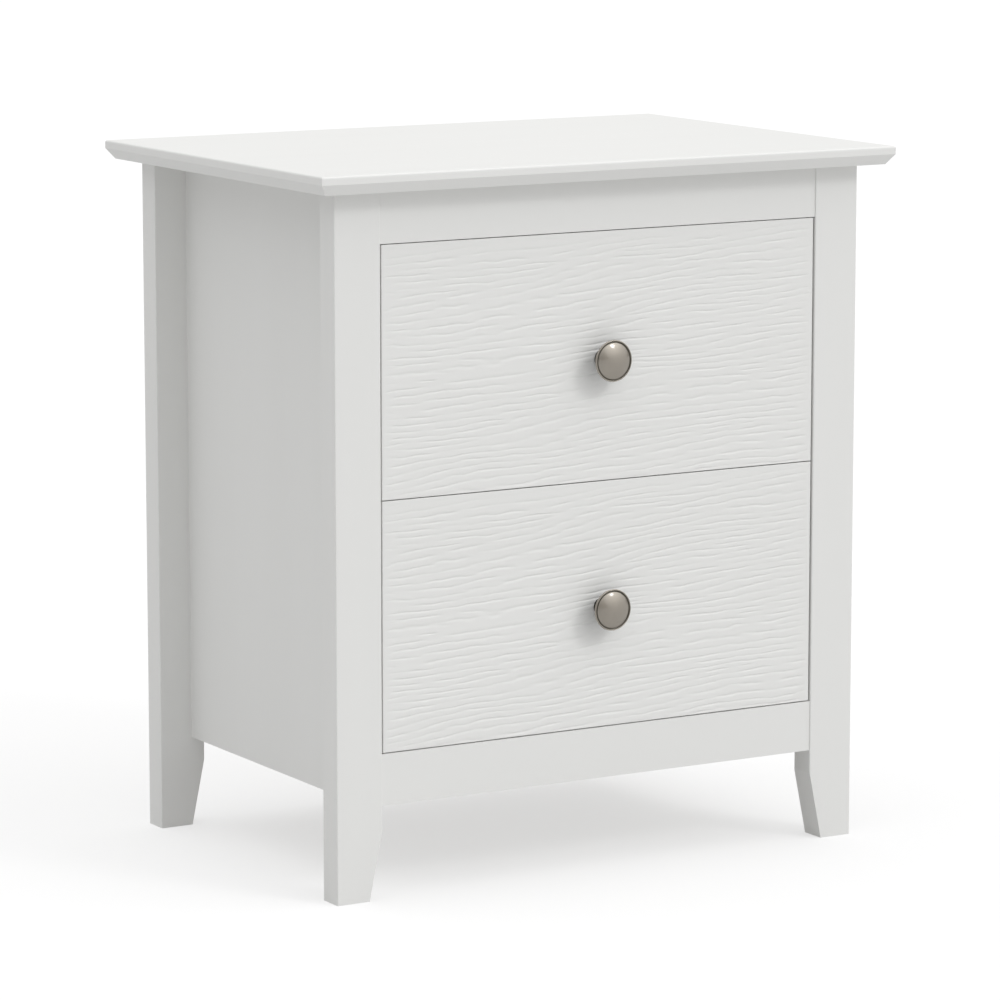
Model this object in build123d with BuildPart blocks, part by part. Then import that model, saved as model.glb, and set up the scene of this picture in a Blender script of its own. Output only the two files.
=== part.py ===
from build123d import *
import os

# Two-drawer nightstand, free standing, in millimetres.
# Frame: +Z up, drawers pull out towards -Y, origin on the floor under the middle of the top.

# Overall size and the case
overall_width = 562.0
overall_depth = 399.0
overall_height = 610.0
top_thickness = 16.0
top_edge_band = 7.0  # upright band round the top, above the undercut
top_undercut = 6.5
top_edge_radius = 2.0
leg_spread_x = 515.0  # outside to outside
leg_spread_y = 351.0
leg_width = 43.0
leg_thickness = 24.5
foot_width = 30.5
taper_height = 60.0
side_thickness = 13.0
case_bottom = 80.0  # lower edge of the side panels and the bottom rails
rail_height = 44.0
rail_thickness = 18.0
face_recess = 1.2  # rails and drawer fronts sit this far behind the leg faces
rear_rail_inset = 4.5
back_thickness = 4.0
back_inset = 6.5  # from the legs' rear face to the back panel
edge_radius = 1.0

# Drawers
drawer_gap = 0.8  # above and below each front
front_side_gap = 1.5
front_thickness = 16.0
front_edge_radius = 0.6
box_depth = 305.0
box_height = 165.0
box_lift = 18.0  # lower edge of the box above the lower edge of its front
board_thickness = 12.0
bottom_thickness = 3.0
bottom_lift = 10.0
groove_depth = 5.0
leg_groove_depth = 3.0
groove_clearance = 0.1
edge_play = 0.5  # thin panels stop this short of the end of their grooves

# Knob
knob_drop = 2.0  # below the middle of the drawer front
knob_radius = 17.8
knob_reach = 22.5
knob_dome_rise = 4.0  # middle of the dome in front of its edge
knob_base_radius = 8.0
knob_base_height = 1.6
knob_flare_end = 5.0  # where the base has narrowed to the stem
knob_stem_radius = 6.5
knob_stem_end = 10.0
knob_rim = 2.3  # rim and groove outside the dome
knob_rim_depth = 2.5
knob_rim_rounding = 1.0
knob_groove_outer = 1.2  # in from the knob's radius
knob_groove_inner = 1.7
knob_groove_depth = 0.8
knob_bell_middle = (3.6, 3.8)  # outwards and forwards from the end of the stem
knob_flare_middle = (0.9, 1.0)  # outwards from the stem, forwards from the base
knob_bore_depth = 10.0
knob_screw_radius = 2.0

# Telescopic slides, three members and two ball cages each
slide_thickness = 12.7
slide_length = 300.0
slide_steel = 1.2
slide_setback = 1.5  # behind the back of the drawer front
slide_lift = 50.0  # centre line above the lower edge of the box
outer_height = 35.0
middle_height = 27.8
inner_height = 20.6
outer_flange = 9.0
middle_start = 2.6  # distances from the case side, towards the drawer
middle_flange_end = 10.5
inner_start = 5.2
ball_radius = 1.1
cage_thickness = 0.8
cage_web = 0.6
cage_length = 120.0
cage_setback = 90.0
ball_count = 9
outer_cage_start = 1.6
outer_cage_end = 8.0
inner_cage_start = 4.2
inner_cage_end = 9.5

# Fasteners
fit_gap = 0.05
dowel_radius = 3.0
dowel_length = 30.0
cam_radius = 7.5
cam_depth = 13.0
cam_inset = 34.0
cam_bolt_radius = 3.5
cam_thread_radius = 2.5
cam_thread_length = 11.0
small_cam_radius = 6.0
small_cam_depth = 9.5
small_cam_inset = 24.0
small_bolt_radius = 2.5
slide_screw_radius = 1.75
slide_screw_head = 2.9
slide_screw_length = 11.0
box_screw_radius = 2.0
box_screw_head = 4.0
box_screw_length = 35.0
top_screw_radius = 2.0
top_screw_head = 4.0
top_screw_head_height = 2.6
top_screw_length = 42.0
top_screw_bore = 12.0

# Worked out from the sizes above
leg_outer_x = leg_spread_x / 2
leg_inner_x = leg_outer_x - leg_width
leg_front_y = -leg_spread_y / 2
leg_rear_y = leg_spread_y / 2
leg_height = overall_height - top_thickness
side_outer_x = leg_inner_x + side_thickness
side_length = leg_spread_y - 2 * leg_thickness
face_y = leg_front_y + face_recess
rail_top_z = leg_height - rail_height
opening_bottom = case_bottom + rail_height
front_height = (rail_top_z - opening_bottom - 3 * drawer_gap) / 2
front_width = 2 * (leg_inner_x - front_side_gap)
box_front_y = face_y + front_thickness
box_rear_y = box_front_y + box_depth
box_outer_x = leg_inner_x - slide_thickness
box_inner_x = box_outer_x - board_thickness
board_mid_x = box_outer_x - board_thickness / 2
front_rail_mid_y = face_y + rail_thickness / 2
rear_rail_mid_y = leg_rear_y - rear_rail_inset - rail_thickness / 2
back_ys = (leg_rear_y - back_inset - back_thickness, leg_rear_y - back_inset)
back_groove_ys = (back_ys[0] - groove_clearance, back_ys[1] + groove_clearance)
slide_front_y = box_front_y + slide_setback

sides = {"left": -1, "right": 1}
drawers = {
    "lower": opening_bottom + drawer_gap,
    "upper": opening_bottom + 2 * drawer_gap + front_height,
}
rails = {
    "bottom_front_rail": (front_rail_mid_y, case_bottom, 1),
    "top_front_rail": (front_rail_mid_y, rail_top_z, -1),
    "bottom_rear_rail": (rear_rail_mid_y, case_bottom, 1),
    "top_rear_rail": (rear_rail_mid_y, rail_top_z, -1),
}
side_dowel_heights = (140.0, 337.0, 534.0)
cam_shift = 6.0  # towards the drawer opening, from the middle of a rail
dowel_shift = 12.0  # the other way
top_screw_places = (-120.0, 0.0, 120.0)
top_screw_front_shift = 3.5  # keeps the rear screws clear of the back panel
slide_screw_places = (35.0, 150.0, 265.0)
box_screw_heights = (20.0, 140.0)
small_cam_heights = (25.0, 135.0)


def save(piece, name):
    """Labels one finished piece and writes its file."""
    piece.part.label = name
    export_step(piece.part, f"parts/{name}.step")


def board(low, high):
    """A rectangular board between two corners."""
    size = [b - a for a, b in zip(low, high)]
    with BuildPart() as made:
        with BuildSketch(Plane.XY.offset(low[2])):
            with Locations(((low[0] + high[0]) / 2, (low[1] + high[1]) / 2)):
                Rectangle(size[0], size[1])
        extrude(amount=size[2])
    return made.part


def peg(start, direction, radius, length):
    """A round bar from a point, along a direction."""
    with BuildPart() as made:
        with BuildSketch(Plane(origin=start, z_dir=direction)):
            Circle(radius)
        extrude(amount=length)
    return made.part


def flat_head_screw(start, direction, radius, head_radius, length):
    """A countersunk screw whose flat head starts at a point and whose shank follows a direction."""
    with BuildPart() as made:
        with Locations(Plane(origin=start, z_dir=direction)):
            Cone(head_radius, radius, head_radius - radius, align=(Align.CENTER, Align.CENTER, Align.MIN))
            Cylinder(radius, length, align=(Align.CENTER, Align.CENTER, Align.MIN))
    return made.part


os.makedirs("parts", exist_ok=True)


# Where the fasteners go, shared by the pieces that they pass through
def rail_cam_place(name, side):
    mid_y, low_z, up = rails[name]
    return (side * (leg_inner_x - cam_inset), mid_y, low_z + rail_height / 2 + up * cam_shift)


def rail_cam_face(name):
    """The rail's face towards the middle of the case, and the direction away from it into the rail."""
    into = -1 if "front" in name else 1
    return rails[name][0] - into * rail_thickness / 2, into


def rail_dowel_place(name, side):
    mid_y, low_z, up = rails[name]
    start_x = side * (leg_inner_x - dowel_length / 2)
    return (start_x, mid_y, low_z + rail_height / 2 - up * dowel_shift)


def side_dowel_places(side, end):
    """Start of each dowel between a side panel and the leg at its front (-1) or rear (1) end."""
    x = side * (leg_inner_x + side_thickness / 2)
    return [(x, end * (side_length / 2 - dowel_length / 2), z) for z in side_dowel_heights]


def case_screw_places(side):
    heights = [low + box_lift + slide_lift for low in drawers.values()]
    x = side * (leg_inner_x - slide_steel)
    return [(x, slide_front_y + y, z) for z in heights for y in slide_screw_places]


def top_screw_starts():
    ys = (front_rail_mid_y, rear_rail_mid_y - top_screw_front_shift)
    return [(x, y, rail_top_z + top_screw_bore) for y in ys for x in top_screw_places]


# Top: a slab with an upright band and an undercut below it
with BuildPart() as top_panel:
    with BuildSketch(Plane.XY.offset(leg_height)):
        Rectangle(overall_width - 2 * top_undercut, overall_depth - 2 * top_undercut)
    with BuildSketch(Plane.XY.offset(overall_height - top_edge_band)):
        Rectangle(overall_width, overall_depth)
    loft()
    with BuildSketch(Plane.XY.offset(overall_height - top_edge_band)):
        Rectangle(overall_width, overall_depth)
    extrude(amount=top_edge_band)
    fillet(top_panel.edges().group_by(Axis.Z)[-1], radius=top_edge_radius)
    for place in top_screw_starts():
        hole_length = top_screw_length - (leg_height - place[2]) + fit_gap
        add(peg((place[0], place[1], leg_height), (0, 0, 1), top_screw_radius + fit_gap, hole_length),
            mode=Mode.SUBTRACT)
save(top_panel, "top_panel")


# Legs: upright boards, face to the front, with the foot tapered on its inner edge
for end_name, end in {"front": -1, "rear": 1}.items():
    for side_name, side in sides.items():
        plane_y = leg_front_y if end < 0 else leg_rear_y - leg_thickness
        with BuildPart() as leg:
            with BuildSketch(Plane.XZ.offset(-plane_y - leg_thickness)):
                with BuildLine():
                    Polyline(
                        (side * leg_outer_x, 0),
                        (side * leg_outer_x, leg_height),
                        (side * leg_inner_x, leg_height),
                        (side * leg_inner_x, taper_height),
                        (side * (leg_outer_x - foot_width), 0),
                        close=True,
                    )
                make_face()
            extrude(amount=leg_thickness)
            fillet(leg.edges().filter_by(Axis.Z), radius=edge_radius)
            for start in side_dowel_places(side, end):
                add(peg(start, (0, end, 0), dowel_radius + fit_gap, dowel_length + fit_gap),
                    mode=Mode.SUBTRACT)
            for name in rails:
                if end_name in name:
                    bolt = rail_cam_place(name, side)
                    add(peg((side * leg_inner_x, bolt[1], bolt[2]), (side, 0, 0),
                            cam_thread_radius + fit_gap, cam_thread_length + fit_gap),
                        mode=Mode.SUBTRACT)
                    add(peg(rail_dowel_place(name, side), (side, 0, 0),
                            dowel_radius + fit_gap, dowel_length + fit_gap),
                        mode=Mode.SUBTRACT)
            if end > 0:
                xs = sorted((side * leg_inner_x, side * (leg_inner_x + leg_groove_depth)))
                add(board((xs[0], back_groove_ys[0], opening_bottom - groove_depth),
                          (xs[1], back_groove_ys[1], rail_top_z + groove_depth)), mode=Mode.SUBTRACT)
        save(leg, f"{end_name}_leg_{side_name}")


# Side panels, between the front and rear legs and flush with their inner edges
for side_name, side in sides.items():
    xs = sorted((side * leg_inner_x, side * side_outer_x))
    with BuildPart() as side_panel:
        add(board((xs[0], -side_length / 2, case_bottom), (xs[1], side_length / 2, leg_height)))
        for end in (-1, 1):
            for start in side_dowel_places(side, end):
                add(peg(start, (0, end, 0), dowel_radius + fit_gap, dowel_length), mode=Mode.SUBTRACT)
        for start in case_screw_places(side):
            add(peg(start, (side, 0, 0), slide_screw_radius + fit_gap, slide_screw_length + fit_gap),
                mode=Mode.SUBTRACT)
    save(side_panel, f"side_panel_{side_name}")


# Rails between the legs, at the front and at the rear
for name, (mid_y, low_z, up) in rails.items():
    cam_face_y, into = rail_cam_face(name)
    with BuildPart() as rail:
        add(board((-leg_inner_x, mid_y - rail_thickness / 2, low_z),
                  (leg_inner_x, mid_y + rail_thickness / 2, low_z + rail_height)))
        for side in sides.values():
            cam = rail_cam_place(name, side)
            add(peg((cam[0], cam_face_y, cam[2]), (0, into, 0), cam_radius + fit_gap, cam_depth + fit_gap),
                mode=Mode.SUBTRACT)
            add(peg(cam, (side, 0, 0), cam_bolt_radius + fit_gap, cam_inset), mode=Mode.SUBTRACT)
            add(peg(rail_dowel_place(name, side), (side, 0, 0), dowel_radius + fit_gap, dowel_length),
                mode=Mode.SUBTRACT)
        if "top" in name:
            for start in top_screw_starts():
                if abs(start[1] - mid_y) < rail_thickness / 2:
                    add(peg(start, (0, 0, -1), top_screw_head + fit_gap, top_screw_bore), mode=Mode.SUBTRACT)
                    add(peg(start, (0, 0, 1), top_screw_radius + fit_gap, rail_height), mode=Mode.SUBTRACT)
        if "rear" in name:
            groove_z = low_z + rail_height if up > 0 else low_z
            add(board((-leg_inner_x, back_groove_ys[0], groove_z - groove_depth),
                      (leg_inner_x, back_groove_ys[1], groove_z + groove_depth)), mode=Mode.SUBTRACT)
    save(rail, name)


# Back panel, loose in the grooves of the rear legs and rails
with BuildPart() as back_panel:
    add(board((-leg_inner_x - leg_groove_depth + edge_play, back_ys[0],
               opening_bottom - groove_depth + edge_play),
              (leg_inner_x + leg_groove_depth - edge_play, back_ys[1],
               rail_top_z + groove_depth - edge_play)))
save(back_panel, "back_panel")


# Fasteners of the case
with BuildPart() as dowels:
    for side in sides.values():
        for end in (-1, 1):
            for start in side_dowel_places(side, end):
                add(peg(start, (0, end, 0), dowel_radius, dowel_length))
        for name in rails:
            add(peg(rail_dowel_place(name, side), (side, 0, 0), dowel_radius, dowel_length))
save(dowels, "dowels")

with BuildPart() as cam_bolts:
    for side in sides.values():
        for name in rails:
            cam = rail_cam_place(name, side)
            add(peg(cam, (side, 0, 0), cam_bolt_radius, cam_inset))
            add(peg(cam, (side, 0, 0), cam_thread_radius, cam_inset + cam_thread_length))
save(cam_bolts, "cam_bolts")

with BuildPart() as cam_nuts:
    for side in sides.values():
        for name in rails:
            cam_face_y, into = rail_cam_face(name)
            cam = rail_cam_place(name, side)
            add(peg((cam[0], cam_face_y, cam[2]), (0, into, 0), cam_radius, cam_depth))
            add(peg(cam, (side, 0, 0), cam_bolt_radius + fit_gap, cam_inset), mode=Mode.SUBTRACT)
save(cam_nuts, "cam_nuts")

with BuildPart() as top_screws:
    for start in top_screw_starts():
        add(peg(start, (0, 0, -1), top_screw_head, top_screw_head_height))
        add(peg(start, (0, 0, 1), top_screw_radius, top_screw_length))
save(top_screws, "top_screws")

with BuildPart() as case_slide_screws:
    for side in sides.values():
        for start in case_screw_places(side):
            add(flat_head_screw(start, (side, 0, 0), slide_screw_radius, slide_screw_head,
                                slide_screw_length))
save(case_slide_screws, "case_slide_screws")


def channel(side, mid_z, height, web, flanges, thickness, low_y, length):
    """A C section along Y. web and flanges are spans measured from the case side to the drawer."""
    web_x = side * (leg_inner_x - sum(web) / 2)
    flange_x = side * (leg_inner_x - sum(flanges) / 2)
    flange_shift = (height - thickness) / 2
    with BuildPart() as made:
        with BuildSketch(Plane.XZ.offset(-low_y - length)):
            with Locations((web_x, mid_z)):
                Rectangle(web[1] - web[0], height)
            with Locations((flange_x, mid_z + flange_shift), (flange_x, mid_z - flange_shift)):
                Rectangle(flanges[1] - flanges[0], thickness)
        extrude(amount=length)
    return made.part


def ball_cage(side, mid_z, ball_shift, web_start, strip_end):
    """A thin C-shaped cage with a row of balls above and a row below."""
    low_y = slide_front_y + cage_setback
    ball_x = side * (leg_inner_x - (web_start + cage_web + strip_end) / 2)
    ball_step = cage_length / ball_count
    ball_ys = [low_y + (number + 0.5) * ball_step for number in range(ball_count)]
    height = 2 * ball_shift + cage_thickness
    with BuildPart() as made:
        add(channel(side, mid_z, height, (web_start, web_start + cage_web), (web_start, strip_end),
                    cage_thickness, low_y, cage_length))
        with Locations([(ball_x, y, mid_z + shift) for y in ball_ys for shift in (-ball_shift, ball_shift)]):
            Sphere(ball_radius)
    return made


# Slides: outer member on the case, inner member on the drawer, the middle one between them on balls
for drawer_name, low_z in drawers.items():
    mid_z = low_z + box_lift + slide_lift
    for side_name, side in sides.items():
        with BuildPart() as slide_outer:
            add(channel(side, mid_z, outer_height, (0, slide_steel), (0, outer_flange), slide_steel,
                        slide_front_y, slide_length))
            for start in case_screw_places(side):
                if abs(start[2] - mid_z) < outer_height / 2:
                    add(flat_head_screw(start, (side, 0, 0), slide_screw_radius + fit_gap,
                                        slide_screw_head + fit_gap, slide_screw_length),
                        mode=Mode.SUBTRACT)
        save(slide_outer, f"{drawer_name}_slide_outer_{side_name}")

        with BuildPart() as slide_middle:
            add(channel(side, mid_z, middle_height, (middle_start, middle_start + slide_steel),
                        (middle_start, middle_flange_end), slide_steel, slide_front_y, slide_length))
        save(slide_middle, f"{drawer_name}_slide_middle_{side_name}")

        with BuildPart() as slide_inner:
            add(channel(side, mid_z, inner_height, (slide_thickness - slide_steel, slide_thickness),
                        (inner_start, slide_thickness), slide_steel, slide_front_y, slide_length))
            for y in slide_screw_places:
                start = (side * (box_outer_x + slide_steel), slide_front_y + y, mid_z)
                add(flat_head_screw(start, (-side, 0, 0), slide_screw_radius + fit_gap,
                                    slide_screw_head + fit_gap, slide_screw_length), mode=Mode.SUBTRACT)
        save(slide_inner, f"{drawer_name}_slide_inner_{side_name}")

        outer_ball_shift = (outer_height / 2 - slide_steel + middle_height / 2) / 2
        outer_cage = ball_cage(side, mid_z, outer_ball_shift, outer_cage_start, outer_cage_end)
        save(outer_cage, f"{drawer_name}_outer_cage_{side_name}")

        inner_ball_shift = (middle_height / 2 - slide_steel + inner_height / 2) / 2
        inner_cage = ball_cage(side, mid_z, inner_ball_shift, inner_cage_start, inner_cage_end)
        save(inner_cage, f"{drawer_name}_inner_cage_{side_name}")


# Drawers: each is a front, two sides, a back and a thin bottom held in grooves all round
for drawer_name, low_z in drawers.items():
    box_low = low_z + box_lift
    slide_z = box_low + slide_lift
    knob_z = low_z + front_height / 2 - knob_drop
    bottom_z = box_low + bottom_lift
    back_front_y = box_rear_y - board_thickness
    groove_zs = (bottom_z - groove_clearance, bottom_z + bottom_thickness + groove_clearance)
    groove_x = box_inner_x + groove_depth
    groove = board((-groove_x, box_front_y - groove_depth, groove_zs[0]),
                   (groove_x, back_front_y + groove_depth, groove_zs[1]))
    cam_starts = {
        side: [(side * board_mid_x, box_front_y + small_cam_inset, box_low + z) for z in small_cam_heights]
        for side in sides.values()
    }
    box_screw_starts = {
        side: [(side * box_outer_x, box_rear_y - board_thickness / 2, box_low + z)
               for z in box_screw_heights]
        for side in sides.values()
    }
    slide_screw_starts = {
        side: [(side * (box_outer_x + slide_steel), slide_front_y + y, slide_z)
               for y in slide_screw_places]
        for side in sides.values()
    }

    with BuildPart() as drawer_front:
        add(board((-front_width / 2, face_y, low_z), (front_width / 2, box_front_y, low_z + front_height)))
        fillet(drawer_front.faces().sort_by(Axis.Y)[0].edges(), radius=front_edge_radius)
        add(groove, mode=Mode.SUBTRACT)
        add(peg((0, box_front_y, knob_z), (0, -1, 0), knob_screw_radius + fit_gap, front_thickness),
            mode=Mode.SUBTRACT)
        for starts in cam_starts.values():
            for x, y, z in starts:
                add(peg((x, box_front_y, z), (0, -1, 0), small_bolt_radius + fit_gap,
                        cam_thread_length + fit_gap), mode=Mode.SUBTRACT)
    save(drawer_front, f"{drawer_name}_drawer_front")

    for side_name, side in sides.items():
        xs = sorted((side * box_inner_x, side * box_outer_x))
        with BuildPart() as drawer_side:
            add(board((xs[0], box_front_y, box_low), (xs[1], box_rear_y, box_low + box_height)))
            add(groove, mode=Mode.SUBTRACT)
            for start in cam_starts[side]:
                add(peg((side * box_inner_x, start[1], start[2]), (side, 0, 0),
                        small_cam_radius + fit_gap, small_cam_depth + fit_gap), mode=Mode.SUBTRACT)
                add(peg(start, (0, -1, 0), small_bolt_radius + fit_gap, small_cam_inset),
                    mode=Mode.SUBTRACT)
            for start in box_screw_starts[side]:
                add(flat_head_screw(start, (-side, 0, 0), box_screw_radius + fit_gap,
                                    box_screw_head + fit_gap, box_screw_length), mode=Mode.SUBTRACT)
            for start in slide_screw_starts[side]:
                add(peg(start, (-side, 0, 0), slide_screw_radius + fit_gap,
                        slide_screw_length + fit_gap), mode=Mode.SUBTRACT)
        save(drawer_side, f"{drawer_name}_drawer_side_{side_name}")

    with BuildPart() as drawer_back:
        add(board((-box_inner_x, back_front_y, box_low), (box_inner_x, box_rear_y, box_low + box_height)))
        add(groove, mode=Mode.SUBTRACT)
        for side, starts in box_screw_starts.items():
            for start in starts:
                add(peg(start, (-side, 0, 0), box_screw_radius + fit_gap, box_screw_length + fit_gap),
                    mode=Mode.SUBTRACT)
    save(drawer_back, f"{drawer_name}_drawer_back")

    with BuildPart() as drawer_bottom:
        add(board((-groove_x + edge_play, box_front_y - groove_depth + edge_play, bottom_z),
                  (groove_x - edge_play, back_front_y + groove_depth - edge_play,
                   bottom_z + bottom_thickness)))
    save(drawer_bottom, f"{drawer_name}_drawer_bottom")

    with BuildPart() as drawer_cam_bolts:
        for starts in cam_starts.values():
            for start in starts:
                add(peg(start, (0, -1, 0), small_bolt_radius, small_cam_inset + cam_thread_length))
    save(drawer_cam_bolts, f"{drawer_name}_drawer_cam_bolts")

    with BuildPart() as drawer_cam_nuts:
        for side, starts in cam_starts.items():
            for start in starts:
                add(peg((side * box_inner_x, start[1], start[2]), (side, 0, 0), small_cam_radius,
                        small_cam_depth))
                add(peg(start, (0, -1, 0), small_bolt_radius + fit_gap, small_cam_inset),
                    mode=Mode.SUBTRACT)
    save(drawer_cam_nuts, f"{drawer_name}_drawer_cam_nuts")

    with BuildPart() as drawer_box_screws:
        for side, starts in box_screw_starts.items():
            for start in starts:
                add(flat_head_screw(start, (-side, 0, 0), box_screw_radius, box_screw_head,
                                    box_screw_length))
    save(drawer_box_screws, f"{drawer_name}_drawer_box_screws")

    with BuildPart() as drawer_slide_screws:
        for side, starts in slide_screw_starts.items():
            for start in starts:
                add(flat_head_screw(start, (-side, 0, 0), slide_screw_radius, slide_screw_head,
                                    slide_screw_length))
    save(drawer_slide_screws, f"{drawer_name}_drawer_slide_screws")

    # Knob: a flared base, a short stem and a domed disc with a narrow groove inside its rim
    with BuildPart() as knob:
        with BuildSketch(Plane(origin=(0, face_y, knob_z), x_dir=(1, 0, 0), z_dir=(0, 0, 1))):
            with BuildLine():
                rim_y = knob_dome_rise - knob_reach
                base_end = (knob_base_radius, -knob_base_height)
                flare_middle = (knob_stem_radius + knob_flare_middle[0],
                                -knob_base_height - knob_flare_middle[1])
                stem_start = (knob_stem_radius, -knob_flare_end)
                stem_end = (knob_stem_radius, -knob_stem_end)
                bell_middle = (knob_stem_radius + knob_bell_middle[0],
                               -knob_stem_end - knob_bell_middle[1])
                rim_back = (knob_radius - knob_rim_rounding, rim_y + knob_rim_depth)
                rim_middle = (knob_radius, rim_y + knob_rim_depth / 2)
                rim_front = (knob_radius - knob_rim_rounding, rim_y)
                groove_outer = (knob_radius - knob_groove_outer, rim_y)
                groove_inner = (knob_radius - knob_groove_inner, rim_y + knob_groove_depth)
                dome_start = (knob_radius - knob_rim, rim_y)
                dome_radius = (dome_start[0] ** 2 + knob_dome_rise**2) / (2 * knob_dome_rise)
                Polyline((0, 0), (knob_base_radius, 0), base_end)
                ThreePointArc(base_end, flare_middle, stem_start)
                Line(stem_start, stem_end)
                ThreePointArc(stem_end, bell_middle, rim_back)
                ThreePointArc(rim_back, rim_middle, rim_front)
                Polyline(rim_front, groove_outer, groove_inner, dome_start)
                RadiusArc(dome_start, (0, -knob_reach), dome_radius)
                Line((0, -knob_reach), (0, 0))
            make_face()
        revolve(axis=Axis((0, face_y, knob_z), (0, 1, 0)))
        add(peg((0, face_y, knob_z), (0, -1, 0), knob_screw_radius + fit_gap, knob_bore_depth),
            mode=Mode.SUBTRACT)
    save(knob, f"{drawer_name}_knob")

    with BuildPart() as knob_screw:
        add(peg((0, box_front_y, knob_z), (0, 1, 0), top_screw_head, top_screw_head_height))
        add(peg((0, box_front_y, knob_z), (0, -1, 0), knob_screw_radius,
                front_thickness + knob_bore_depth - edge_play))
    save(knob_screw, f"{drawer_name}_knob_screw")
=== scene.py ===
import math

import bmesh
import bpy
import numpy as np
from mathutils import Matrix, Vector


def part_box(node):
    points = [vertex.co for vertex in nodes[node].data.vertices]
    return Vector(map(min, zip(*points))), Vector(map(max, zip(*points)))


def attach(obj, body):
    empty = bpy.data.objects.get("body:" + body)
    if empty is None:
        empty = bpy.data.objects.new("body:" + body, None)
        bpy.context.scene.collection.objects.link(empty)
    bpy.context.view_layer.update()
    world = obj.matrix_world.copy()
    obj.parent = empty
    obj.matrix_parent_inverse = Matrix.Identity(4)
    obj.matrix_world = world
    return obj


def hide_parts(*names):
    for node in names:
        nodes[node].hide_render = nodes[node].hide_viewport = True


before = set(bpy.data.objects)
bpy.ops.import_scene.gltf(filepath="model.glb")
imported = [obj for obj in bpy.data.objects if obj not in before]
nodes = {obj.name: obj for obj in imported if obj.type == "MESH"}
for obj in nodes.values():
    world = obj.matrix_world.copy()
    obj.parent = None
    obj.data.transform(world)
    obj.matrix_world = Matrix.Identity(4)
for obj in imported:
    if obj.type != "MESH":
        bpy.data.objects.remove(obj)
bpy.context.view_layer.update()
mm = 0.001
print("frame loaded:", len(nodes), "nodes")


# camera: a long lens in front and to the left of the table, dipped a little towards it
view = {
    "place": (-2.0942, -3.5625, 0.9743),
    "turn": 30.476,  # degrees to the right of straight ahead
    "dip": 9.324,  # degrees below level
    "lens": 171.5,
    "sensor": 36,
    "nearest": 0.05,
    "furthest": 200,
}


def makeCamera():
    data = bpy.data.cameras.new("tableCamera")
    data.lens = view["lens"]
    data.sensor_width = view["sensor"]
    data.clip_start = view["nearest"]
    data.clip_end = view["furthest"]
    camera = bpy.data.objects.new("tableCamera", data)
    camera.location = view["place"]
    camera.rotation_euler = (math.radians(90 - view["dip"]), 0, -math.radians(view["turn"]))
    bpy.context.scene.collection.objects.link(camera)
    bpy.context.scene.camera = camera


makeCamera()
print("camera set")


# node helpers, kept small so each material reads top to bottom
def newMaterial(name):
    material = bpy.data.materials.new(name)
    material.use_nodes = True
    tree = material.node_tree
    shader = tree.nodes["Principled BSDF"]
    return material, tree, shader


def link(tree, source, output, target, socket):
    tree.links.new(source.outputs[output], target.inputs[socket])


# grain is a scale for each axis: a small number draws the texture out along that axis
even = (1, 1, 1)


def stretchedCoordinates(tree, grain):
    place = tree.nodes.new("ShaderNodeTexCoord")
    mapping = tree.nodes.new("ShaderNodeMapping")
    mapping.inputs["Scale"].default_value = grain
    link(tree, place, "Object", mapping, "Vector")
    return mapping


def noise(tree, grain, scale, detail, roughness=0.5):
    texture = tree.nodes.new("ShaderNodeTexNoise")
    texture.inputs["Scale"].default_value = scale
    texture.inputs["Detail"].default_value = detail
    texture.inputs["Roughness"].default_value = roughness
    link(tree, stretchedCoordinates(tree, grain), "Vector", texture, "Vector")
    return texture


def ramp(tree, source, output, places, colours):
    node = tree.nodes.new("ShaderNodeValToRGB")
    link(tree, source, output, node, "Fac")
    for element, place, colour in zip(node.color_ramp.elements, places, colours):
        element.position = place
        element.color = (*colour, 1)
    return node


def calculate(tree, operation, source, output, value):
    node = tree.nodes.new("ShaderNodeMath")
    node.operation = operation
    node.inputs[1].default_value = value
    link(tree, source, output, node, 0)
    return node


# look is the bump's strength and height
def bump(tree, shader, height, output, look, before=None):
    node = tree.nodes.new("ShaderNodeBump")
    node.inputs["Strength"].default_value, node.inputs["Distance"].default_value = look
    link(tree, height, output, node, "Height")
    if before:
        link(tree, before, "Normal", node, "Normal")
    link(tree, node, "Normal", shader, "Normal")
    return node


sheenPlaces = (0.3, 0.7)  # values of the texture at the roughest and at the smoothest finish


def unevenSheen(tree, shader, texture, roughness):
    smooth, rough = roughness
    sheen = ramp(tree, texture, "Fac", sheenPlaces, ((rough,) * 3, (smooth,) * 3))
    link(tree, sheen, "Color", shader, "Roughness")


# satin paint on board: faint cloudy tone, brush marks, a fine orange peel and a slightly uneven sheen
paint = {
    "light": (0.800, 0.800, 0.785),
    "shade": (0.788, 0.788, 0.772),
    "roughness": (0.50, 0.60),
    "gloss": 0.5,
    "cloudScale": 9,
    "tonePlaces": (0.35, 0.62),
    "brushScale": 160,
    "brush": (0.35, 0.06 * mm),
    "peelScale": 900,
    "peel": (0.3, 0.02 * mm),
    "grains": {
        "uprightPaint": (1, 1, 0.12),
        "acrossPaint": (0.12, 1, 1),
        "frontPaint": (0.08, 1, 1),
    },
}


def makePaint(name, grain):
    material, tree, shader = newMaterial(name)
    cloud = noise(tree, grain, paint["cloudScale"], detail=4)
    tone = ramp(tree, cloud, "Fac", paint["tonePlaces"], (paint["shade"], paint["light"]))
    link(tree, tone, "Color", shader, "Base Color")
    unevenSheen(tree, shader, cloud, paint["roughness"])
    marks = noise(tree, grain, paint["brushScale"], detail=2)
    brushed = bump(tree, shader, marks, "Fac", paint["brush"])
    peel = noise(tree, even, paint["peelScale"], detail=2)
    bump(tree, shader, peel, "Fac", paint["peel"], brushed)
    shader.inputs["Specular IOR Level"].default_value = paint["gloss"]
    return material


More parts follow.
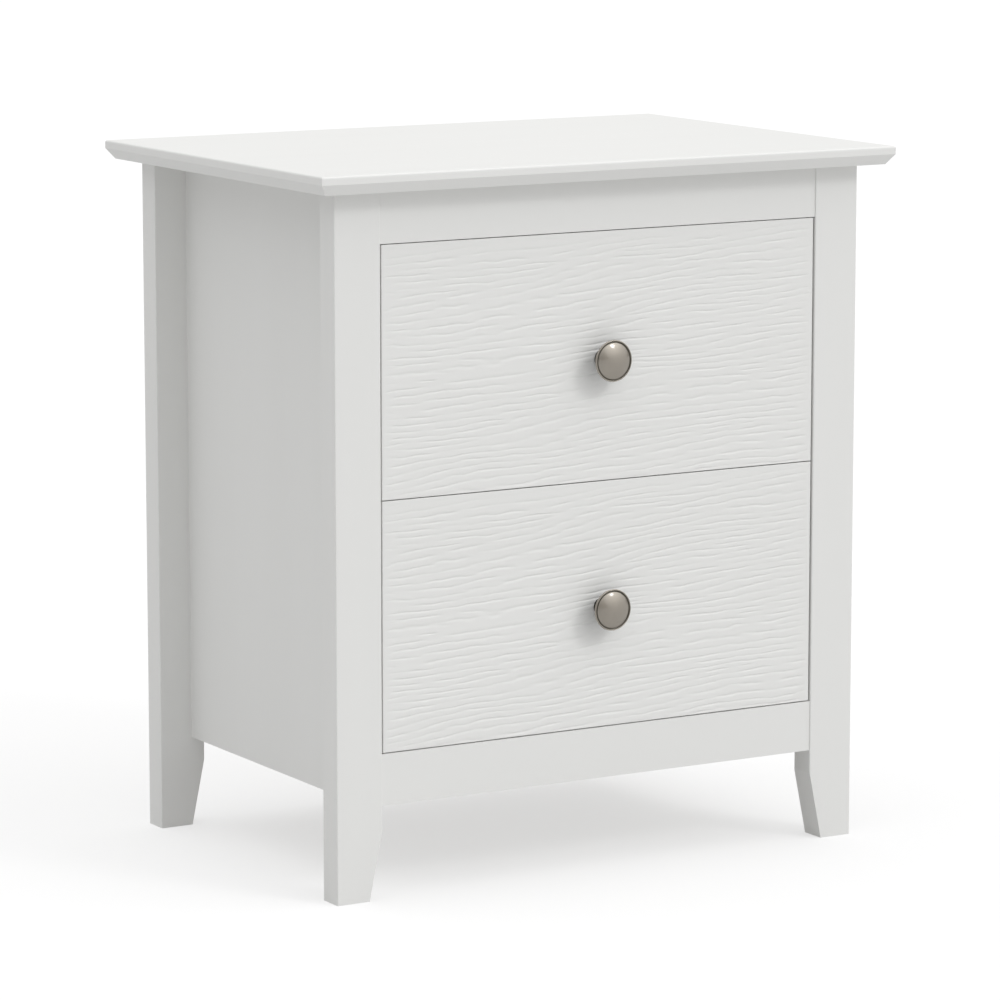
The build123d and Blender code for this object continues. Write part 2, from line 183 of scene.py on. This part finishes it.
# bare wood: pale birch for the drawer boxes, thin board for bottoms and back, dowels
birch = {"light": (0.74, 0.61, 0.43), "dark": (0.60, 0.46, 0.29), "roughness": 0.48}
thinBoard = {"light": (0.72, 0.70, 0.66), "dark": (0.64, 0.62, 0.57), "roughness": 0.55}
dowelWood = {"light": (0.66, 0.48, 0.29), "dark": (0.52, 0.36, 0.20), "roughness": 0.7}
wood = {
    "fibreScale": 22,
    "fibreRoughness": 0.6,
    "figureScale": 9,
    "figureStretch": 0.35,  # draws the broad figure out further than the fibres
    "tonePlaces": (0.38, 0.6),
    "pores": (0.4, 0.12 * mm),
    "looks": {
        "sideBirch": (birch, (1, 0.05, 1)),
        "backBirch": (birch, (0.05, 1, 1)),
        "thinBoard": (thinBoard, (0.5, 0.5, 0.5)),
        "dowelWood": (dowelWood, even),
    },
}


def makeWood(name, look, grain):
    material, tree, shader = newMaterial(name)
    fibres = noise(tree, grain, wood["fibreScale"], detail=5, roughness=wood["fibreRoughness"])
    broad = tuple(axis * wood["figureStretch"] for axis in grain)
    figure = noise(tree, broad, wood["figureScale"], detail=3)
    both = calculate(tree, "ADD", fibres, "Fac", 0)
    link(tree, figure, "Fac", both, 1)
    half = calculate(tree, "MULTIPLY", both, "Value", 0.5)
    tone = ramp(tree, half, "Value", wood["tonePlaces"], (look["dark"], look["light"]))
    link(tree, tone, "Color", shader, "Base Color")
    shader.inputs["Roughness"].default_value = look["roughness"]
    bump(tree, shader, fibres, "Fac", wood["pores"])
    return material


# metals: fine drawn lines with smudged roughness. The knob's face is lacquered over a satin finish
nickel = {"light": (0.365, 0.330, 0.281), "dark": (0.337, 0.303, 0.256), "roughness": (0.46, 0.54)}
# the groove's nickel is darkened to stand for the shade in the knob's groove: painted shade
groovePaintedShade = {"light": (0.23, 0.215, 0.185), "dark": (0.19, 0.178, 0.150), "roughness": (0.40, 0.50)}
# the back of the knob is painted nearly black to stand for the shade behind its rim: painted shade
backPaintedShade = {"light": (0.075, 0.072, 0.060), "dark": (0.050, 0.048, 0.040), "roughness": (0.50, 0.60)}
zinc = {"light": (0.66, 0.67, 0.68), "dark": (0.52, 0.53, 0.54), "roughness": (0.28, 0.42)}
screwZinc = {"light": (0.60, 0.59, 0.56), "dark": (0.46, 0.45, 0.42), "roughness": (0.3, 0.45)}
lacquer = {"Coat Weight": 1.0, "Coat Roughness": 0.10, "Coat IOR": 1.7}
metal = {
    "tonePlaces": (0.3, 0.65),
    "lines": (0.2, 0.02 * mm),
    # look, grain, scale of the lines and any coat
    "looks": {
        "knobNickel": (nickel, even, 40, lacquer),
        # the next two looks are nickel painted dark as shade, in the groove and behind the rim
        "knobGroovePaintedShade": (groovePaintedShade, even, 40, {}),
        "knobBackPaintedShade": (backPaintedShade, even, 40, {}),
        "slideZinc": (zinc, (1, 0.03, 1), 60, {}),
        "screwZinc": (screwZinc, even, 300, {}),
    },
}


def makeMetal(name, look, grain, scale, coat):
    material, tree, shader = newMaterial(name)
    shader.inputs["Metallic"].default_value = 1.0
    lines = noise(tree, grain, scale, detail=4)
    tone = ramp(tree, lines, "Fac", metal["tonePlaces"], (look["dark"], look["light"]))
    link(tree, tone, "Color", shader, "Base Color")
    unevenSheen(tree, shader, lines, look["roughness"])
    bump(tree, shader, lines, "Fac", metal["lines"])
    for socket, value in coat.items():
        shader.inputs[socket].default_value = value
    return material


materials = {name: makePaint(name, grain) for name, grain in paint["grains"].items()}
materials.update({name: makeWood(name, *look) for name, look in wood["looks"].items()})
materials.update({name: makeMetal(name, *look) for name, look in metal["looks"].items()})
print("materials made:", len(materials))


def pickMaterial(name):
    if name.endswith("_knob"):
        return "knobNickel"
    if "leg" in name or "side_panel" in name:
        return "uprightPaint"
    if "rail" in name or name == "top_panel":
        return "acrossPaint"
    if name.endswith("drawer_front"):
        return "frontPaint"
    if "drawer_side" in name:
        return "sideBirch"
    if name.endswith("drawer_back"):
        return "backBirch"
    if name == "back_panel" or name.endswith("drawer_bottom"):
        return "thinBoard"
    if name == "dowels":
        return "dowelWood"
    if "screw" in name or "cam_" in name:
        return "screwZinc"
    return "slideZinc"


# boards get their sharp edges eased, slide members a hair less
easing = {
    "boards": (0.6 * mm, ("side_panel", "rail", "drawer_side", "drawer_back", "top_panel", "leg")),
    "slides": (0.15 * mm, ("_slide_outer_", "_slide_middle_", "_slide_inner_")),
    "steps": 3,
    "sharperThan": 35,  # degrees
}


def easeEdges(piece, width):
    modifier = piece.modifiers.new("easedEdges", "BEVEL")
    modifier.width = width
    modifier.segments = easing["steps"]
    modifier.limit_method = "ANGLE"
    modifier.angle_limit = math.radians(easing["sharperThan"])
    modifier.harden_normals = True


for name, piece in nodes.items():
    piece.data.materials.clear()
    piece.data.materials.append(materials[pickMaterial(name)])
    for face in piece.data.polygons:
        face.material_index = 0
    for kind in ("boards", "slides"):
        width, words = easing[kind]
        if any(word in name for word in words):
            easeEdges(piece, width)
print("CAD nodes dressed")


# finishes are the piece's materials in the order of its faces' material numbers
def addPiece(name, mesh, body, stands, finishes):
    piece = bpy.data.objects.new(name, mesh)
    bpy.context.scene.collection.objects.link(piece)
    for finish in finishes:
        mesh.materials.append(materials[finish])
    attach(piece, body)
    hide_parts(stands)


# drawer fronts: a pressed grain of long shallow grooves that climb, wander, fork and fade
front = {
    "edgeRadius": 0.6 * mm,
    "edgeSteps": 4,
    "columnStep": 2.2 * mm,
    "rowStep": 0.45 * mm,
    "pitch": 6.0 * mm,
    "grooveWidth": 0.85 * mm,
    "grooveDepth": 0.44 * mm,
    "ridge": 0.08,  # swell between grooves, as a part of their depth
    "lean": 0.050,  # climb to the right all the way across
    "rise": 6 * mm,  # further climb near the middle
    "riseMiddle": -5 * mm,
    "riseSpread": 85 * mm,
    # how far each noise moves a groove, and the noise's length along x and z
    "wander": (1.1 * mm, 150 * mm, 60 * mm),
    "spacing": (0.8 * mm, 260 * mm, 34 * mm),
    "wiggle": (0.30 * mm, 30 * mm, 16 * mm),
    # share of the depth that each noise adds or takes away, and its lengths
    "fade": (0.34, 52 * mm, 8 * mm),
    "strength": (0.28, 32 * mm, 6 * mm),
    "usualDepth": 0.68,
    "depthRange": (0.04, 1.2),
    "forks": 26,
    "forkSpread": 200 * mm,
    "forkMargin": 10 * mm,
    "forkStretch": 0.16,
    "seed": 11,
    "topMargin": 13 * mm,
    "topFade": 1.5,
    "sideMargin": 9 * mm,
    "raggedEnds": 5 * mm,
    "waves": 26,  # cosines that add up to one soft noise
    "waveStretch": (0.6, 1.5),
}


def softNoise(random, xLength, zLength):
    count = front["waves"]
    turns = random.uniform(0, 2 * math.pi, count)
    leans = random.uniform(0, 2 * math.pi, count)
    stretch = random.uniform(*front["waveStretch"], count)
    xWaves = np.cos(leans) * stretch * 2 * math.pi / xLength
    zWaves = np.sin(leans) * stretch * 2 * math.pi / zLength

    def field(x, z):
        total = np.zeros_like(x)
        for a, b, turn in zip(xWaves, zWaves, turns):
            total += np.cos(a * x + b * z + turn)
        return total / math.sqrt(count / 2)

    return field


def addForks(phase, x, z, height, random):
    spread, margin = front["forkSpread"], front["forkMargin"]
    for number in range(front["forks"]):
        forkX = random.uniform(-spread, spread)
        forkZ = random.uniform(margin, height - margin)
        sign = 1 if number % 2 else -1
        phase = phase + sign * np.arctan2(z - forkZ, (x - forkX) * front["forkStretch"]) / (2 * math.pi)
    return phase


def grainDepth(x, z, height):
    random = np.random.default_rng(front["seed"])
    fields = {}
    for name in ("wander", "spacing", "wiggle", "fade", "strength"):
        reach, xLength, zLength = front[name]
        fields[name] = reach * softNoise(random, xLength, zLength)(x, z)
    climb = front["rise"] / (1 + np.exp(-(x - front["riseMiddle"]) / (front["riseSpread"] / 2)))
    climb = climb + front["lean"] * x
    moved = z - climb + fields["wander"] + fields["spacing"] + fields["wiggle"]
    phase = addForks(moved / front["pitch"], x, z, height, random)
    away = np.abs(phase - np.round(phase)) * front["pitch"]
    groove = np.exp(-((away / front["grooveWidth"]) ** 2))
    ridge = front["ridge"] * np.cos(2 * math.pi * phase)
    amount = np.clip(front["usualDepth"] + fields["fade"] + fields["strength"], *front["depthRange"])
    top = np.clip((height - z) / front["topMargin"], 0, 1) ** front["topFade"]
    ragged = front["raggedEnds"] * np.abs(fields["strength"] / front["strength"][0])
    left = np.clip((x - x.min() - ragged) / front["sideMargin"], 0, 1)
    right = np.clip((x.max() - x - ragged) / front["sideMargin"], 0, 1)
    return front["grooveDepth"] * amount * (groove + ridge) * top * left * right


# places of the grid lines from low to high, and how far the rounded edge falls back at each
def edgeSpread(low, high, step):
    radius, steps = front["edgeRadius"], front["edgeSteps"]
    turns = [math.pi / 2 * n / steps for n in range(steps)]
    near = [radius * (1 - math.cos(turn)) for turn in turns]
    drops = [radius * (1 - math.sin(turn)) for turn in turns]
    count = max(2, round((high - low - 2 * radius) / step))
    middle = list(np.linspace(low + radius, high - radius, count))
    places = [low + n for n in near] + middle + [high - n for n in reversed(near)]
    falls = drops + [0.0] * len(middle) + drops[::-1]
    return np.array(places), np.array(falls)


def makeFrontMesh(name, low, high):
    xs, xFalls = edgeSpread(low.x, high.x, front["columnStep"])
    zs, zFalls = edgeSpread(low.z, high.z, front["rowStep"])
    x, z = np.meshgrid(xs, zs)
    fall = np.maximum.outer(zFalls, xFalls)
    depth = grainDepth(x, z - low.z, high.z - low.z)
    y = low.y + fall + np.where(fall > 0, 0, depth)
    points = np.stack([x, y, z], axis=-1).reshape(-1, 3).tolist()
    index = np.arange(len(points)).reshape(x.shape)
    quads = np.stack([index[:-1, :-1], index[:-1, 1:], index[1:, 1:], index[1:, :-1]], axis=-1)
    faces = quads.reshape(-1, 4).tolist()
    grained = len(faces)
    # the rim of the grid goes straight back to the flat rear face
    rim = np.concatenate([index[0, :-1], index[:-1, -1], index[-1, :0:-1], index[:0:-1, 0]]).tolist()
    start, count = len(points), len(rim)
    points += [[points[i][0], high.y, points[i][2]] for i in rim]
    for n in range(count):
        m = (n + 1) % count
        faces.append([rim[m], rim[n], start + n, start + m])
    faces.append([start + n for n in range(count)][::-1])
    mesh = bpy.data.meshes.new(name)
    mesh.from_pydata(points, [], faces)
    mesh.validate()
    mesh.update()
    for face in mesh.polygons:
        face.use_smooth = face.index < grained
    return mesh


for drawer in ("upper", "lower"):
    node = f"{drawer}_drawer_front"
    name = f"{drawer}_front_grained"
    low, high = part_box(node)
    mesh = makeFrontMesh(name, low, high)
    addPiece(name, mesh, f"{drawer}_drawer", node, ["frontPaint"])
    print(drawer, "front grained:", len(mesh.polygons), "faces")


# knobs: turned on their own axis, with a domed face inside a fine groove
knob = {
    "steps": 128,
    # radius and reach from the drawer face, in parts of the knob's own radius and reach
    "profile": [
        (0.0, 0.0), (0.449, 0.0), (0.449, 0.045), (0.440, 0.072), (0.415, 0.105), (0.388, 0.15),
        (0.370, 0.22), (0.366, 0.32), (0.367, 0.43), (0.385, 0.49), (0.44, 0.555), (0.53, 0.61),
        (0.66, 0.655), (0.80, 0.69), (0.92, 0.712), (0.965, 0.732), (0.99, 0.76), (1.0, 0.79),
        (0.994, 0.812), (0.980, 0.826), (0.962, 0.830), (0.944, 0.826), (0.932, 0.812),
        (0.922, 0.788), (0.906, 0.778), (0.890, 0.788), (0.880, 0.808), (0.870, 0.822),
    ],
    "domeSteps": 18,
    # rows of the outline, counted from the drawer, painted dark: painted shade on the knob's back
    # behind the rim and in its groove
    "paintedShadeBackRows": range(1, 15),
    "paintedShadeGrooveRows": range(21, 27),
    "finishes": ["knobNickel", "knobGroovePaintedShade", "knobBackPaintedShade"],
}


def knobOutline(radius, reach):
    outline = [(r * radius, d * reach) for r, d in knob["profile"]]
    domeRadius, domeBase = outline[-1]
    rise = reach - domeBase
    ball = (domeRadius**2 + rise**2) / (2 * rise)
    for n in range(1, knob["domeSteps"] + 1):
        r = domeRadius * (1 - n / knob["domeSteps"])
        outline.append((r, reach - ball + math.sqrt(ball**2 - r**2)))
    return outline


# rows of the back and the groove take the darkened nickel, which is painted shade
def finishOfRow(row):
    if row in knob["paintedShadeGrooveRows"]:
        return knob["finishes"].index("knobGroovePaintedShade")
    if row in knob["paintedShadeBackRows"]:
        return knob["finishes"].index("knobBackPaintedShade")
    return knob["finishes"].index("knobNickel")


def makeKnobMesh(name, low, high):
    centreX, centreZ = (low.x + high.x) / 2, (low.z + high.z) / 2
    outline = knobOutline((high.z - low.z) / 2, high.y - low.y)
    builder = bmesh.new()
    rings = []
    for radius, reach in outline:
        y = high.y - reach
        if radius == 0:
            rings.append([builder.verts.new((centreX, y, centreZ))])
            continue
        ring = []
        for n in range(knob["steps"]):
            turn = 2 * math.pi * n / knob["steps"]
            spot = (centreX + radius * math.cos(turn), y, centreZ + radius * math.sin(turn))
            ring.append(builder.verts.new(spot))
        rings.append(ring)
    for row, (inner, outer) in enumerate(zip(rings, rings[1:])):
        for n in range(knob["steps"]):
            m = (n + 1) % knob["steps"]
            if len(inner) == 1:
                face = builder.faces.new((inner[0], outer[n], outer[m]))
            elif len(outer) == 1:
                face = builder.faces.new((inner[m], inner[n], outer[0]))
            else:
                face = builder.faces.new((inner[n], outer[n], outer[m], inner[m]))
            face.material_index = finishOfRow(row)
            face.smooth = True
    bmesh.ops.recalc_face_normals(builder, faces=builder.faces)
    mesh = bpy.data.meshes.new(name)
    builder.to_mesh(mesh)
    builder.free()
    return mesh


for drawer in ("upper", "lower"):
    node = f"{drawer}_knob"
    name = f"{drawer}_knob_turned"
    low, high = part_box(node)
    mesh = makeKnobMesh(name, low, high)
    addPiece(name, mesh, f"{drawer}_drawer", node, knob["finishes"])
print("knobs turned")


# floor and light: pale floor, a sky that brightens overhead, a small front lamp and two broad fills
studio = {
    "floorSize": 80.0,
    "floorColour": (0.42, 0.42, 0.42),
    "floorRoughness": 0.9,
    "floorGlow": 0.245,
    "floorSeen": 0.305,  # further lift of the floor as it is seen, which lights nothing
    "skyHigh": 1.34,
    "skySeen": 1.05,
    "lamps": {
        "frontLamp": {"from": (0.35, -0.63, 0.54), "strength": 0.45, "angle": 14},
        "rightFill": {"from": (0.60, -0.70, 0.40), "strength": 0.88, "angle": 80},
        "leftFill": {"from": (-0.60, 0.45, 0.65), "strength": 0.40, "angle": 90},
    },
}


def makeFloor():
    size = studio["floorSize"] / 2
    mesh = bpy.data.meshes.new("paleFloor")
    corners = [(-size, -size, 0), (size, -size, 0), (size, size, 0), (-size, size, 0)]
    mesh.from_pydata(corners, [], [(0, 1, 2, 3)])
    floor = bpy.data.objects.new("paleFloor", mesh)
    bpy.context.scene.collection.objects.link(floor)
    material, tree, shader = newMaterial("paleFloor")
    shader.inputs["Base Color"].default_value = (*studio["floorColour"], 1)
    shader.inputs["Roughness"].default_value = studio["floorRoughness"]
    shader.inputs["Specular IOR Level"].default_value = 0.0
    shader.inputs["Emission Color"].default_value = (1, 1, 1, 1)
    seen = tree.nodes.new("ShaderNodeLightPath")
    glow = calculate(tree, "MULTIPLY_ADD", seen, "Is Camera Ray", studio["floorSeen"])
    glow.inputs[2].default_value = studio["floorGlow"]
    link(tree, glow, "Value", shader, "Emission Strength")
    mesh.materials.append(material)


def makeSky():
    world = bpy.data.worlds.new("studioSky")
    world.use_nodes = True
    bpy.context.scene.world = world
    tree = world.node_tree
    place = tree.nodes.new("ShaderNodeTexCoord")
    split = tree.nodes.new("ShaderNodeSeparateXYZ")
    link(tree, place, "Generated", split, "Vector")
    above = calculate(tree, "MAXIMUM", split, "Z", 0)
    height = calculate(tree, "MULTIPLY", above, "Value", studio["skyHigh"])
    seen = tree.nodes.new("ShaderNodeLightPath")
    choose = tree.nodes.new("ShaderNodeMix")
    choose.inputs["B"].default_value = studio["skySeen"]
    link(tree, seen, "Is Camera Ray", choose, "Factor")
    link(tree, height, "Value", choose, "A")
    link(tree, choose, "Result", tree.nodes["Background"], "Strength")
    tree.nodes["Background"].inputs["Color"].default_value = (1, 1, 1, 1)


def makeLamps():
    for name, look in studio["lamps"].items():
        lamp = bpy.data.lights.new(name, "SUN")
        lamp.energy = look["strength"]
        lamp.angle = math.radians(look["angle"])
        lampObject = bpy.data.objects.new(name, lamp)
        lampObject.rotation_mode = "QUATERNION"
        lampObject.rotation_quaternion = Vector(look["from"]).to_track_quat("Z", "Y")
        bpy.context.scene.collection.objects.link(lampObject)


makeFloor()
makeSky()
makeLamps()
bpy.context.scene.view_settings.view_transform = "Standard"
print("studio lit")
